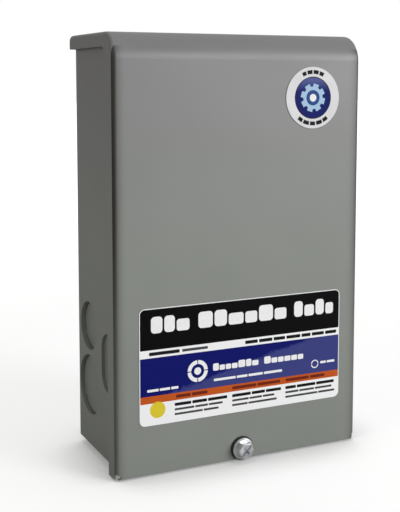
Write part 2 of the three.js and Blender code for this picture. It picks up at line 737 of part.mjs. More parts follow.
/** The relay's box-shaped case, open towards the base, notched for the tabs. */
function relayCase() {
  const { x, z, half, rear } = RELAY;
  const wall = 1.6;
  const outer = prism(roundRect(z, [x - half, x + half], 2.5), 'y', [RELAY_FLOOR - 8, rear], 1);
  const inner = prism(
    roundRect([z[0] + wall, z[1] - wall], [x - half + wall, x + half - wall], 1.5),
    'y',
    [RELAY_FLOOR - 10, rear - wall],
    0.6,
  );
  const ahead = block([x - 40, x + 40], [RELAY_FLOOR - 30, RELAY_FLOOR], [z[0] - 9, z[1] + 9]);
  const notches = Object.values(TAB_X).map((at) =>
    block([at - TAB.half - 0.3, at + TAB.half + 0.3], [RELAY_FLOOR - 1, RELAY_FLOOR + TAB.thick + 0.3], [
      z[0] - 1,
      z[0] + wall + 1,
    ]),
  );
  return cut(outer, inner, ahead, ...notches);
}

/** The L-shaped iron frame in front of and below the coil. */
function relayFrame() {
  const x = [RELAY.x - FRAME.half, RELAY.x + FRAME.half];
  const bottom = COIL.z[0] - 0.6 - FRAME.thick;
  const long = block(x, [RELAY_FLOOR, RELAY_FLOOR + FRAME.thick], [bottom, FRAME.top]);
  const foot = block(x, [RELAY_FLOOR, COIL.y + 8], [bottom, bottom + FRAME.thick]);
  return join(long, foot);
}

function relayCore() {
  return bar('z', [RELAY.x, COIL.y], [COIL.z[0] - 0.5, COIL.z[1] + 2.9], 3.5, 24);
}

function relayBobbin() {
  const tube = bar('z', [RELAY.x, COIL.y], COIL.z, 4.8, 24);
  const flanges = [COIL.z[0], COIL.z[1] - 1.2].map((z) => bar('z', [RELAY.x, COIL.y], [z, z + 1.2], 11));
  const bore = bar('z', [RELAY.x, COIL.y], [COIL.z[0] - 1, COIL.z[1] + 1], 3.7, 24);
  return cut(join(tube, ...flanges), bore);
}

function relayWinding() {
  const z = [COIL.z[0] + 1.3, COIL.z[1] - 1.3];
  return bar('z', [RELAY.x, COIL.y], z, 10).subtract(bar('z', [RELAY.x, COIL.y], [z[0] - 1, z[1] + 1], 5, 24));
}

/** The iron flap over the core, which rocks on the frame's upper edge. */
function relayArmature() {
  const x = [RELAY.x - FRAME.half, RELAY.x + FRAME.half];
  const hinge = block(x, [RELAY_FLOOR + 0.2, RELAY_FLOOR + 6], ARMATURE.z);
  const flap = prism(
    roundRect([x[0] + 1, x[1] - 1], [RELAY_FLOOR + 2, ARMATURE.rear], 3),
    'z',
    ARMATURE.z,
  );
  return join(hinge, flap);
}

/** The contact strip on the armature, with its contact button on top. */
function relayContactArm() {
  const bottom = ARMATURE.z[1] + GAP;
  const strip = block([RELAY.x - 3.5, RELAY.x + 3.5], [RELAY_FLOOR + 5, CONTACT_Y + 2.6], [bottom, bottom + 0.5]);
  return join(strip, bar('z', [RELAY.x, CONTACT_Y], [bottom + 0.4, bottom + 1.6], 2, 20));
}

/** The fixed contact: its tab below, the strip up the base, and the button over the moving one. */
function relayFixedContact() {
  const button = ARMATURE.z[1] + GAP + 1.6 + 0.15;
  const strip = [button + 1.2, button + 2];
  const flat = [RELAY_FLOOR, RELAY_FLOOR + TAB.thick];
  const rise = block([TAB_X.fixed - TAB.half, TAB_X.fixed + TAB.half], flat, [TAB.bottom, strip[1]]);
  const reach = block([RELAY.x - 3, RELAY.x + 4], [RELAY_FLOOR, CONTACT_Y + 2.6], strip);
  const bridge = block([RELAY.x - 3, TAB_X.fixed + TAB.half], [RELAY_FLOOR, RELAY_FLOOR + 6], strip);
  return join(rise, reach, bridge, bar('z', [RELAY.x, CONTACT_Y], [button, strip[0] + 0.1], 2, 20));
}

/** A push-on tab that lies on the relay's base and stands out below it. */
function relayTab(x, top) {
  const flat = [RELAY_FLOOR, RELAY_FLOOR + TAB.thick];
  return prism(roundRect([TAB.bottom, top], [x - TAB.half, x + TAB.half], 0.8), 'y', flat);
}

/** A helix along Z, for the small return spring. */
class Helix extends THREE.Curve {
  constructor(centre, z, radius, turns) {
    super();
    Object.assign(this, { centre, z, radius, turns });
  }

  getPoint(t, target = new THREE.Vector3()) {
    const angle = 2 * Math.PI * this.turns * t;
    const x = this.centre[0] + this.radius * Math.cos(angle);
    const y = this.centre[1] + this.radius * Math.sin(angle);
    return target.set(x, y, this.z[0] + (this.z[1] - this.z[0]) * t);
  }
}

/** A round wire along a curve. */
function wireAlong(path, diameter, sides, steps) {
  const section = new THREE.Shape();
  for (let i = 0; i < sides; i += 1) {
    const angle = (2 * Math.PI * i) / sides;
    const corner = [(Math.cos(angle) * diameter) / 2, (Math.sin(angle) * diameter) / 2];
    if (i === 0) section.moveTo(...corner);
    else section.lineTo(...corner);
  }
  section.closePath();
  return solid(new THREE.ExtrudeGeometry(section, { steps, extrudePath: path, bevelEnabled: false }));
}

/** The return spring between the bobbin's flange and the armature. */
function relaySpring() {
  const wire = 0.5;
  const z = [COIL.z[1] + wire / 2 + 0.15, ARMATURE.z[0] - wire / 2 - 0.15];
  return wireAlong(new Helix([RELAY.x, COIL.y - 7.2], z, 1.8, 4), wire, 6, 40);
}

// ---- cover: harness ----

const TAIL_TOP = CONTACT.z[1] + 0.4;
const WIRE_Y = -60.5;
const BOOT_END = CAN.z[0] - 13.6;
const TAB_END = TAB.bottom - 0.6;
const TAB_Y = RELAY_FLOOR + TAB.thick / 2;

const WIRES = [
  [
    [CELLS[0], WIRE_Y, TAIL_TOP],
    [CELLS[0], WIRE_Y, 120],
    [-41, -59, 125],
    [CAN.x - 8, -56, 130],
    [CAN.x - 8, CAN.y, BOOT_END],
  ],
  [
    [CAN.x + 8, CAN.y, BOOT_END],
    [CAN.x + 8, -55.5, 129],
    [-20, -60, 126],
    [-5, -66, 125.2],
    [12, -69.5, 125.4],
    [21, TAB_Y, 127],
    [TAB_X.arm, TAB_Y, TAB_END],
  ],
  [
    [CELLS[1], WIRE_Y, TAIL_TOP],
    [CELLS[1], -60.8, 119],
    [-14, -63, 121],
    [-6, -63, 121],
    [CELLS[2], -60.8, 119],
    [CELLS[2], WIRE_Y, TAIL_TOP],
  ],
  [
    [CELLS[3], WIRE_Y, TAIL_TOP],
    [CELLS[3], WIRE_Y, 118.5],
    [21.5, -62.5, 121],
    [28, -68, 123.5],
    [TAB_X.coil - 0.6, TAB_Y, 127],
    [TAB_X.coil, TAB_Y, TAB_END],
  ],
  [
    [CELLS[4], WIRE_Y, TAIL_TOP],
    [CELLS[4], WIRE_Y, 118.5],
    [42, -63, 121],
    [45, -67.5, 123.5],
    [TAB_X.fixed, TAB_Y, 127],
    [TAB_X.fixed, TAB_Y, TAB_END],
  ],
];

/** One insulated wire of the harness. */
function harnessWire(points) {
  const corners = points.map((point) => new THREE.Vector3(...point));
  return wireAlong(new THREE.CatmullRomCurve3(corners, false, 'centripetal'), 3, 8, 5 * points.length);
}

// ---- assembly ----

const TERMINAL_HEAD = { radius: 4.4, height: 2.4 };
const SMALL_HEAD = { radius: 3.6, height: 2 };
const CLAMP_FACE = TERMINAL.strip[0] - GAP - 1.1;

piece('base_wrapper', baseWrapper(), 'paint', base);
piece('bottom_plate', bottomPlate(), 'paint', base);
piece('clip_nut', clipNut(), 'zinc', base);
piece('terminal_block', terminalBlock(), 'blackPlastic', base);
const blockShank = { radius: 2, tip: -3.4 };
BLOCK_SCREW_X.forEach((x, i) => {
  const screw = slottedScrew(x, BLOCK.screwZ, BLOCK.front - GAP, -1, SMALL_HEAD, blockShank);
  piece(`block_screw_${i + 1}`, screw, 'zinc', base);
});
piece('ground_screw', groundScrew(), 'green', base);
piece('ground_washer', groundWasher(), 'brass', base);
CELLS.forEach((x, i) => {
  const shank = { radius: 2, tip: -14 };
  const screw = slottedScrew(x, TERMINAL.screwZ, CLAMP_FACE - GAP, -1, TERMINAL_HEAD, shank);
  piece(`terminal_blade_${i + 1}`, terminalBlade(x), 'brass', base);
  piece(`terminal_clamp_${i + 1}`, terminalClamp(x), 'zinc', base);
  piece(`terminal_screw_${i + 1}`, screw, 'zinc', base);
});

piece('cover_shell', coverShell(), 'paint', cover);
piece('front_label', frontLabel(), 'label', cover);
piece('round_badge', roundBadge(), 'badge', cover);
piece('diagram_label', diagramLabel(), 'label', cover);
piece('seal_washer', sealWasher(), 'rubber', cover);
piece('cover_screw', coverScrew(), 'zinc', cover);

piece('capacitor_can', capacitorCan(), 'aluminium', cover);
piece('capacitor_end_cap', capacitorEndCap(), 'blackPlastic', cover);
piece('capacitor_tab_left', capacitorTab(-8), 'brass', cover);
piece('capacitor_tab_right', capacitorTab(8), 'brass', cover);
piece('capacitor_strap', capacitorStrap(), 'zinc', cover);

piece('plug_bracket', plugBracket(), 'zinc', cover);
piece('plug_housing', plugHousing(), 'creamPlastic', cover);
CELLS.forEach((x, i) => piece(`plug_contact_${i + 1}`, plugContact(x), 'brass', cover));

piece('relay_base', relayBase(), 'blackPlastic', cover);
piece('relay_case', relayCase(), 'greyPlastic', cover);
const relayShank = { radius: 1.5, tip: FRONT + 0.7 };
RELAY_SCREWS.forEach(([x, z], i) => {
  const screw = slottedScrew(x, z, RELAY.seat + RELAY.deep - 1 + GAP, 1, SMALL_HEAD, relayShank);
  piece(`relay_screw_${i + 1}`, screw, 'zinc', cover);
});
piece('relay_frame', relayFrame(), 'iron', cover);
piece('relay_core', relayCore(), 'iron', cover);
piece('relay_bobbin', relayBobbin(), 'creamPlastic', cover);
piece('relay_winding', relayWinding(), 'copper', cover);
piece('relay_armature', relayArmature(), 'iron', cover);
piece('relay_contact_arm', relayContactArm(), 'brass', cover);
piece('relay_fixed_contact', relayFixedContact(), 'brass', cover);
piece('relay_arm_tab', relayTab(TAB_X.arm, COIL.z[0] + 10), 'brass', cover);
piece('relay_coil_tab', relayTab(TAB_X.coil, COIL.z[0] - 3), 'brass', cover);
piece('relay_spring', relaySpring(), 'zinc', cover);
WIRES.forEach((points, i) => piece(`wire_${i + 1}`, harnessWire(points), 'rubber', cover));

export default starter;
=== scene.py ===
"""Looks for a magnetic motor starter: a grey steel box whose cover carries a printed label, a round badge,
the capacitor, the relay and the plug. Lengths named in millimetres are turned into metres by MM."""

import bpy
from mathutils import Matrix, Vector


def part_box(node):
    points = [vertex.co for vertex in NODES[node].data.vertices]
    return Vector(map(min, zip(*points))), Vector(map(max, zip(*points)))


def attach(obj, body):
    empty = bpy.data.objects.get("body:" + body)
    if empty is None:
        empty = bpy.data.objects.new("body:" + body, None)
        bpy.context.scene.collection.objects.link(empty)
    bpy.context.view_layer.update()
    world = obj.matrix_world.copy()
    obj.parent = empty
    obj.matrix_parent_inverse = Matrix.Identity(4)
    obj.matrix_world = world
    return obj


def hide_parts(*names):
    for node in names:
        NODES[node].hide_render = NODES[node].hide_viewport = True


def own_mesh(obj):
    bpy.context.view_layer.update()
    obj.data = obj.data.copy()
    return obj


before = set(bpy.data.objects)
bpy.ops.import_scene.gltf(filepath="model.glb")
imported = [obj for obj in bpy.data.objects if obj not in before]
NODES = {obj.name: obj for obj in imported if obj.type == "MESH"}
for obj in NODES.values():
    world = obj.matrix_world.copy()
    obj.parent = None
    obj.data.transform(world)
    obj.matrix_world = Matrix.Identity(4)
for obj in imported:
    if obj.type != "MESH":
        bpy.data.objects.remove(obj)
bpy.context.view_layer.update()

import math
import random

import bmesh
import bpy
from mathutils import Vector

MM = 0.001
RANDOM = random.Random(7)


# ---- node graphs ----


class Graph:
    """A material's node tree with short ways to add nodes."""

    def __init__(self, name):
        self.material = bpy.data.materials.new(name)
        self.material.use_nodes = True
        self.tree = self.material.node_tree
        self.shader = self.tree.nodes["Principled BSDF"]
        self.place = self.node("ShaderNodeTexCoord").outputs["Object"]

    def put(self, socket, value):
        """Links an output to the socket, or sets a plain value."""
        if isinstance(value, bpy.types.NodeSocket):
            self.tree.links.new(value, socket)
        else:
            socket.default_value = value

    def node(self, kind, inputs=None, **settings):
        """Adds a node, gives it its settings and feeds its inputs."""
        made = self.tree.nodes.new(kind)
        for name, value in settings.items():
            setattr(made, name, value)
        for name, value in (inputs or {}).items():
            self.put(made.inputs[name], value)
        return made

    def math(self, operation, *values, clamp=False):
        """One step of arithmetic."""
        made = self.node("ShaderNodeMath", operation=operation, use_clamp=clamp)
        for socket, value in zip(made.inputs, values):
            self.put(socket, value)
        return made.outputs[0]

    def axis(self, name):
        """One coordinate of the place, in metres."""
        return self.node("ShaderNodeSeparateXYZ", {"Vector": self.place}).outputs[name]

    def stretched(self, stretch):
        """The place with its three axes scaled."""
        return self.node("ShaderNodeMapping", {"Vector": self.place, "Scale": stretch}).outputs[0]

    def noise(self, size, detail=3.0, stretch=(1, 1, 1), roughness=0.55):
        """Noise whose features are about size metres, from 0 to 1."""
        made = self.node(
            "ShaderNodeTexNoise",
            {"Vector": self.stretched(stretch), "Scale": 1 / size, "Detail": detail, "Roughness": roughness},
        )
        return made.outputs["Fac"]

    def span(self, value, low, high, to_low=0.0, to_high=1.0, smooth=True):
        """Carries a value from low..high to another range, held at its ends."""
        made = self.node(
            "ShaderNodeMapRange",
            {"Value": value, "From Min": low, "From Max": high, "To Min": to_low, "To Max": to_high},
            interpolation_type="SMOOTHSTEP" if smooth else "LINEAR",
        )
        return made.outputs[0]

    def mix(self, share, a, b):
        """Blends from colour a to colour b."""
        made = self.node("ShaderNodeMix", data_type="RGBA")
        self.put(made.inputs[0], share)
        self.put(made.inputs[6], colour(a))
        self.put(made.inputs[7], colour(b))
        return made.outputs[2]

    def edges(self, radius):
        """Near 1 on sharp edges and 0 on flats."""
        rounded = self.node("ShaderNodeBevel", {"Radius": radius}, samples=4).outputs[0]
        flat = self.node("ShaderNodeNewGeometry").outputs["Normal"]
        dot = self.node("ShaderNodeVectorMath", operation="DOT_PRODUCT")
        self.put(dot.inputs[0], rounded)
        self.put(dot.inputs[1], flat)
        return self.span(dot.outputs["Value"], 0.99, 0.8)

    def bump(self, height, strength, distance, before=None):
        """A normal tilted by a height, on top of an earlier one."""
        inputs = {"Height": height, "Strength": strength, "Distance": distance}
        if before is not None:
            inputs["Normal"] = before
        return self.node("ShaderNodeBump", inputs).outputs[0]

    def finish(self, **sockets):
        """Sets the shader's inputs; underscores in a name stand for spaces."""
        for name, value in sockets.items():
            self.put(self.shader.inputs[name.replace("_", " ")], value)
        return self.material


def colour(value):
    """Red, green and blue as a socket's four numbers; outputs are left alone."""
    return (*value, 1.0) if isinstance(value, tuple) and len(value) == 3 else value


# ---- materials ----


def painted_steel():
    """Grey enamel: a soft drift of tone with painted shade that darkens the upper part, an orange-peel skin,
    and a painted shade line in the side bends.
    """
    g = Graph("grey_enamel")
    cloud = g.noise(60 * MM, 4)
    speck = g.noise(0.5 * MM, 2)
    low = g.mix(cloud, (0.216, 0.233, 0.212), (0.246, 0.262, 0.240))
    high = g.mix(cloud, (0.182, 0.181, 0.184), (0.209, 0.208, 0.212))
    # painted shade: the upper part is darker and bluer than the lower, following how the light falls
    tone = g.mix(g.span(g.axis("Z"), 70 * MM, 200 * MM), low, high)
    tone = g.mix(g.span(speck, 0.3, 0.75, 0.0, 0.16), tone, (0.14, 0.145, 0.135))
    # painted shade: a near-black line down each side bend, darkest at the top, stands in for the bend's
    # shading
    toward_side = g.span(g.math("ABSOLUTE", g.axis("X")), 68 * MM, 76.2 * MM, smooth=False)
    on_front = g.span(g.axis("Y"), -73.9 * MM, -74.3 * MM)
    fading_down = g.span(g.axis("Z"), -20 * MM, 120 * MM, 0.62, 1.0)
    bend = g.math("MULTIPLY", g.math("MULTIPLY", g.math("POWER", toward_side, 2.6), on_front), fading_down)
    tone = g.mix(bend, tone, (0.020, 0.015, 0.012))
    scuff = g.math("MULTIPLY", g.edges(0.5 * MM), g.span(g.noise(7 * MM, 4), 0.52, 0.72, 0.0, 0.55))
    tone = g.mix(scuff, tone, (0.34, 0.34, 0.33))
    orange_peel = g.bump(g.noise(1.1 * MM, 2), 0.10, 0.05 * MM)
    wavy = g.bump(g.noise(34 * MM, 2), 0.12, 0.4 * MM, orange_peel)
    rough = g.math("ADD", g.span(cloud, 0.3, 0.7, 0.34, 0.42), g.math("MULTIPLY", speck, 0.06))
    return g.finish(Base_Color=tone, Roughness=rough, Normal=wavy)


def metal(name, dull, bright, rough, grain=(1, 1, 1), blotch=4 * MM, lines=0.25 * MM):
    """Bare or plated metal with blotches, drawn lines and brighter edges."""
    g = Graph(name)
    patches = g.noise(blotch, 5)
    fine = g.noise(lines, 3, grain)
    tone = g.mix(g.span(patches, 0.3, 0.7), dull, bright)
    tone = g.mix(g.span(fine, 0.25, 0.8, 0.0, 0.3), tone, tuple(0.55 * part for part in dull))
    worn = g.math("MULTIPLY", g.edges(0.25 * MM), 0.6)
    tone = g.mix(worn, tone, tuple(min(1.0, 1.15 * part) for part in bright))
    uneven = g.span(patches, 0.3, 0.7, rough - 0.06, rough + 0.08)
    roughness = g.math("ADD", uneven, g.math("MULTIPLY", fine, 0.08))
    return g.finish(Base_Color=tone, Metallic=1.0, Roughness=roughness, Normal=g.bump(fine, 0.22, 0.03 * MM))


def moulded(name, dark, light, rough, grain=0.45 * MM, bump=0.12):
    """Moulded plastic or rubber with a fine grain, faint flow marks and paler rubbed edges."""
    g = Graph(name)
    flow = g.noise(9 * MM, 3, (1, 1, 0.35))
    speck = g.noise(grain, 2)
    tone = g.mix(g.span(flow, 0.3, 0.7), dark, light)
    tone = g.mix(g.span(speck, 0.45, 0.8, 0.0, 0.25), tone, tuple(0.7 * part for part in dark))
    rubbed = g.math("MULTIPLY", g.edges(0.4 * MM), 0.35)
    tone = g.mix(rubbed, tone, tuple(min(1.0, 1.3 * part + 0.02) for part in light))
    uneven = g.span(flow, 0.3, 0.7, rough - 0.05, rough + 0.05)
    roughness = g.math("ADD", uneven, g.math("MULTIPLY", speck, 0.1))
    return g.finish(Base_Color=tone, Roughness=roughness, Normal=g.bump(speck, bump, 0.05 * MM))


def copper_winding():
    """Enamelled wire wound in even turns, with painted shade in the grooves between them."""
    g = Graph("copper_winding")
    winding = {"Vector": g.place, "Scale": 1 / (3.4 * MM), "Distortion": 0.6}
    ridge = g.node("ShaderNodeTexWave", winding, bands_direction="Z").outputs["Fac"]
    tone = g.mix(g.noise(3 * MM, 3), (0.36, 0.10, 0.035), (0.62, 0.22, 0.08))
    # painted shade: darker in the grooves between the turns
    tone = g.mix(g.span(ridge, 0.0, 0.35, 0.7, 0.0), tone, (0.08, 0.02, 0.01))
    return g.finish(Base_Color=tone, Metallic=0.85, Roughness=0.32, Normal=g.bump(ridge, 0.6, 0.12 * MM))


def film(g, tone, dust=0.12):
    """Finishes a printed film: faint fibres, dust and a low gloss."""
    fibre = g.noise(0.6 * MM, 3)
    dulled = g.mix(g.span(fibre, 0.5, 0.85, 0.0, dust), tone, (0.16, 0.16, 0.155))
    rough = g.span(g.noise(14 * MM, 3), 0.3, 0.7, 0.38, 0.50)
    g.shader.inputs["Specular IOR Level"].default_value = 0.06
    return g.finish(Base_Color=dulled, Roughness=rough, Normal=g.bump(fibre, 0.06, 0.03 * MM))


LABEL_MIDDLE = (1.0 * MM, 20.5 * MM)
LABEL_HALF = (63.9 * MM, 32.6 * MM)
LABEL_CORNER = 3.2 * MM
LABEL_RIM = 0.45 * MM  # white margin round the bands
LABEL_BANDS = (30.1 * MM, 25.7 * MM, 4.4 * MM, 0.3 * MM)  # lower edges: black, white, blue and orange
SHINE_START = 15.8 * MM  # the lighter corner of the blue band lies below a line that rises to the right
SHINE_SLOPE = 0.23
BADGE_RIM = 0.45 * MM  # dark ring round the badge's disc


def label_print():
    """The label's bands, top to bottom: black, white, blue with a ragged lighter corner, orange, white."""
    g = Graph("label_print")
    height = g.axis("Z")
    above = [g.math("GREATER_THAN", height, edge) for edge in LABEL_BANDS]
    slope = g.math("MULTIPLY_ADD", g.axis("X"), SHINE_SLOPE, SHINE_START)
    ragged = g.math("MULTIPLY_ADD", g.noise(5 * MM, 6, roughness=0.75), 9 * MM, slope)
    lit = g.span(g.math("SUBTRACT", ragged, height), 4.0 * MM, 6.2 * MM, smooth=False)
    paper = g.mix(g.noise(20 * MM, 2), (0.88, 0.89, 0.90), (0.93, 0.93, 0.94))
    blue = g.mix(lit, (0.004, 0.007, 0.135), (0.045, 0.054, 0.215))
    orange = g.mix(g.noise(8 * MM, 3), (0.50, 0.080, 0.012), (0.58, 0.115, 0.018))
    tone = g.mix(above[3], paper, orange)
    tone = g.mix(above[2], tone, blue)
    tone = g.mix(above[1], tone, paper)
    tone = g.mix(above[0], tone, (0.0015, 0.0015, 0.002))
    past = []
    for axis, middle, half in zip("XZ", LABEL_MIDDLE, LABEL_HALF):
        off = g.math("ABSOLUTE", g.math("SUBTRACT", g.axis(axis), middle))
        past.append(g.math("POWER", g.math("SUBTRACT", off, half - LABEL_CORNER, clamp=True), 2.0))
    reach = g.math("SQRT", g.math("ADD", *past))
    tone = g.mix(g.math("GREATER_THAN", reach, LABEL_CORNER - LABEL_RIM), tone, paper)
    return film(g, tone, 0.03)


def badge_print(centre, disc_radius):
    """Silver-white foil round a dark blue disc with a paler upper shine."""
    g = Graph("badge_print")
    offset = g.node("ShaderNodeVectorMath", operation="SUBTRACT")
    g.put(offset.inputs[0], g.place)
    g.put(offset.inputs[1], (centre[0], 0.0, centre[1]))
    flat = g.node("ShaderNodeVectorMath", operation="MULTIPLY")
    g.put(flat.inputs[0], offset.outputs[0])
    g.put(flat.inputs[1], (1.0, 0.0, 1.0))
    reach = g.node("ShaderNodeVectorMath", operation="LENGTH")
    g.put(reach.inputs[0], flat.outputs[0])
    radius = reach.outputs["Value"]
    foil = g.mix(g.noise(9 * MM, 3), (0.66, 0.66, 0.68), (0.80, 0.80, 0.81))
    upper = g.span(g.axis("Z"), centre[1] + 3 * MM, centre[1] + 11 * MM)
    blue = g.mix(upper, (0.006, 0.012, 0.130), (0.085, 0.105, 0.300))
    tone = g.mix(g.math("LESS_THAN", radius, disc_radius + BADGE_RIM), foil, (0.012, 0.012, 0.015))
    tone = g.mix(g.math("LESS_THAN", radius, disc_radius), tone, blue)
    return film(g, tone, 0.03)


def ink(name, tone):
    """Printing ink or plain label stock, a little uneven."""
    g = Graph(name)
    return film(g, g.mix(g.noise(2 * MM, 3), tone, tuple(0.88 * part for part in tone)), 0.02)


def insulation(name, tone):
    """Wire insulation with a soft gloss."""
    return moulded(name, tuple(0.85 * part for part in tone), tone, 0.34, 0.8 * MM, 0.05)


LOOKS = {
    "painted_steel": painted_steel(),
    "zinc_plate": metal("zinc_plate", (0.62, 0.64, 0.66), (0.88, 0.89, 0.90), 0.33),
    "brass": metal("brass", (0.62, 0.40, 0.14), (0.82, 0.60, 0.26), 0.30, (1, 1, 5)),
    "soft_iron": metal("soft_iron", (0.17, 0.17, 0.175), (0.30, 0.30, 0.31), 0.42, (1, 1, 4)),
    "copper_winding": copper_winding(),
    "aluminium_can": metal("aluminium", (0.60, 0.61, 0.63), (0.78, 0.79, 0.80), 0.30, (1, 1, 9), 14 * MM),
    "black_plastic": moulded("black_phenolic", (0.012, 0.012, 0.013), (0.024, 0.024, 0.026), 0.42),
    "grey_plastic": moulded("grey_plastic", (0.060, 0.064, 0.070), (0.085, 0.090, 0.098), 0.44),
    "cream_plastic": moulded("cream_plastic", (0.58, 0.53, 0.40), (0.68, 0.63, 0.50), 0.42),
    "seal_rubber": moulded("seal_rubber", (0.010, 0.010, 0.010), (0.020, 0.020, 0.020), 0.72, 0.3 * MM, 0.2),
    "wire_insulation": insulation("wire_black", (0.02, 0.02, 0.022)),
    "printed_label": ink("label_white", (0.84, 0.84, 0.85)),
    "badge_foil": ink("badge_white", (0.78, 0.78, 0.79)),
    "green_screw": metal("green_zinc", (0.03, 0.22, 0.07), (0.06, 0.34, 0.12), 0.34),
}
INKS = {
    "white": ink("ink_white", (0.93, 0.93, 0.94)),
    "black": ink("ink_black", (0.010, 0.010, 0.012)),
    "grey": ink("ink_grey", (0.07, 0.07, 0.075)),
    "red": ink("ink_dark_red", (0.17, 0.022, 0.010)),
    "yellow": ink("ink_yellow", (0.78, 0.62, 0.04)),
    "pale": ink("ink_pale_blue", (0.42, 0.60, 0.80)),
    "blue": ink("ink_blue", (0.03, 0.08, 0.28)),
}
WIRE_LOOKS = {
    "wire_1": insulation("wire_red", (0.42, 0.022, 0.018)),
    "wire_2": insulation("wire_yellow", (0.66, 0.44, 0.03)),
    "wire_3": insulation("wire_grey_black", (0.022, 0.022, 0.024)),
    "wire_4": insulation("wire_blue", (0.02, 0.07, 0.34)),
    "wire_5": insulation("wire_brown", (0.14, 0.055, 0.025)),
}
SLEEVES = {
    "nylon": moulded("nylon", (0.40, 0.38, 0.33), (0.52, 0.50, 0.45), 0.36, 0.5 * MM, 0.06),
    "shrink": moulded("shrink_tube", (0.014, 0.014, 0.015), (0.022, 0.022, 0.024), 0.55, 0.4 * MM, 0.1),
}
BADGE_CENTRE = (44.9 * MM, 166.2 * MM)
BADGE_DISC = 11.6 * MM
NODE_LOOKS = {
    **WIRE_LOOKS,
    "front_label": label_print(),
    "round_badge": badge_print(BADGE_CENTRE, BADGE_DISC),
}


# ---- finer shapes for the carried-over nodes ----

EDGE_WIDTH = 0.18  # rounding of the edges in millimetres
EDGE_WIDTHS = {
    "cover_shell": 0.3,
    "base_wrapper": 0.3,
    "bottom_plate": 0.3,
    "terminal_block": 0.4,
    "plug_housing": 0.3,
    "relay_base": 0.35,
    "relay_case": 0.35,
    "cover_screw": 0.2,
    "front_label": 0.05,
    "round_badge": 0.08,
    "diagram_label": 0.05,
}
ROUND_STOCK = ("wire_", "relay_spring")  # rounded by subdividing
PIERCED_SHEETS = ("base_wrapper",)  # cut into triangles before the edges of their many holes are rounded


def soften(node):
    """Welds a node's faces, rounds its edges and evens out its shading. Its own points stay as they are."""
    mesh = node.data
    for name in ("custom_normal", "sharp_edge"):
        if name in mesh.attributes:
            mesh.attributes.remove(mesh.attributes[name])
    mesh.polygons.foreach_set("use_smooth", [True] * len(mesh.polygons))
    weld = node.modifiers.new("weld", "WELD")
    weld.merge_threshold = 0.002 * MM
    flats = node.modifiers.new("flats", "DECIMATE")
    flats.decimate_type = "DISSOLVE"
    flats.angle_limit = math.radians(0.6)
    if node.name in PIERCED_SHEETS:
        node.modifiers.new("facets", "TRIANGULATE").min_vertices = 5
    if node.name.startswith(ROUND_STOCK):
        rounder = node.modifiers.new("rounder", "SUBSURF")
        rounder.levels = rounder.render_levels = 2
        return
    bevel = node.modifiers.new("edges", "BEVEL")
    bevel.width = EDGE_WIDTHS.get(node.name, EDGE_WIDTH) * MM
    bevel.segments = 2
    bevel.limit_method = "ANGLE"
    bevel.angle_limit = math.radians(34)
    shading = node.modifiers.new("shading", "WEIGHTED_NORMAL")
    shading.weight = 60


def dress_nodes():
    """Gives every carried-over node its finish and softer edges."""
    for name, node in NODES.items():
        slot = node.material_slots[0].material.name
        node.material_slots[0].material = NODE_LOOKS.get(name, LOOKS[slot])
        soften(node)


# ---- new pieces ----

INK_THICK = 0.03 * MM


def add_piece(name, mesh_source, look, body="cover", smooth=True):
    """Makes an object from a bmesh and lets it ride on a body."""
    mesh = bpy.data.meshes.new(name)
    bmesh.ops.recalc_face_normals(mesh_source, faces=mesh_source.faces)
    mesh_source.to_mesh(mesh)
    mesh_source.free()
    mesh.materials.append(look)
    mesh.polygons.foreach_set("use_smooth", [smooth] * len(mesh.polygons))
    piece = bpy.data.objects.new(name, mesh)
    bpy.context.scene.collection.objects.link(piece)
    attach(piece, body)
    return piece


def prints(name, outlines, look, level, thick=-INK_THICK, body="cover", across="y"):
    """Flat printed shapes on a plane across Y or X. Each outline lists (x or y, z) points in millimetres."""
    source = bmesh.new()

    def corner(u, v, depth):
        return source.verts.new((u * MM, depth, v * MM) if across == "y" else (depth, u * MM, v * MM))

    for outline in outlines:
        rear = [corner(u, v, level) for u, v in outline]
        front = [corner(u, v, level + thick) for u, v in outline]
        count = len(outline)
        source.faces.new(rear)
        source.faces.new(front)
        for i in range(count):
            j = (i + 1) % count
            source.faces.new((rear[i], rear[j], front[j], front[i]))
    return add_piece(name, source, look, body, smooth=False)


def lofted(name, rings, look, body="cover"):
    """A closed body through rings of points in millimetres, with flat ends."""
    source = bmesh.new()
    loops = [[source.verts.new([part * MM for part in point]) for point in ring] for ring in rings]
    for low, high in zip(loops, loops[1:]):
        for i in range(len(low)):
            source.faces.new((low[i - 1], low[i], high[i], high[i - 1]))
    source.faces.new(loops[0])
    source.faces.new(loops[-1])
    return add_piece(name, source, look, body)


def rounded_bar(x0, x1, middle, height):
    """An outline with rounded corners, from x0 to x1 about a middle line."""
    radius = min(0.22 * height, 0.5 * (x1 - x0) - 0.01)
    low, high = middle - height / 2, middle + height / 2
    corners = (
        (x1 - radius, low + radius, -90),
        (x1 - radius, high - radius, 0),
        (x0 + radius, high - radius, 90),
        (x0 + radius, low + radius, 180),
    )
    outline = []
    for x, z, start in corners:
        for step in range(5):
            angle = math.radians(start + 22.5 * step)
            outline.append((x + radius * math.cos(angle), z + radius * math.sin(angle)))
    return outline


def word_bars(x0, x1, middle, height, words=1, share=0.5):
    """A line of plain bars of uneven widths, with gaps of share times the height."""
    gap = share * height
    weights = [RANDOM.uniform(0.6, 1.4) for _ in range(words)]
    room = x1 - x0 - gap * (words - 1)
    bars, at = [], x0
    for weight in weights:
        width = room * weight / sum(weights)
        bars.append(rounded_bar(at, at + width, middle, height))
        at += width + gap
    return bars


def blocks(x0, x1, foot, heights, count):
    """A row of plain blocks on a foot line: the first is tall, the others are mostly low."""
    gap = 0.17 * heights[1]
    weights = [RANDOM.uniform(0.8, 1.2) for _ in range(count)]
    room = x1 - x0 - gap * (count - 1)
    row, at = [], x0
    for i, weight in enumerate(weights):
        height = heights[0] if i == 0 or RANDOM.random() < 0.2 else heights[1]
        width = room * weight / sum(weights)
        row.append(rounded_bar(at, at + width, foot + height / 2, height))
        at += width + gap
    return row


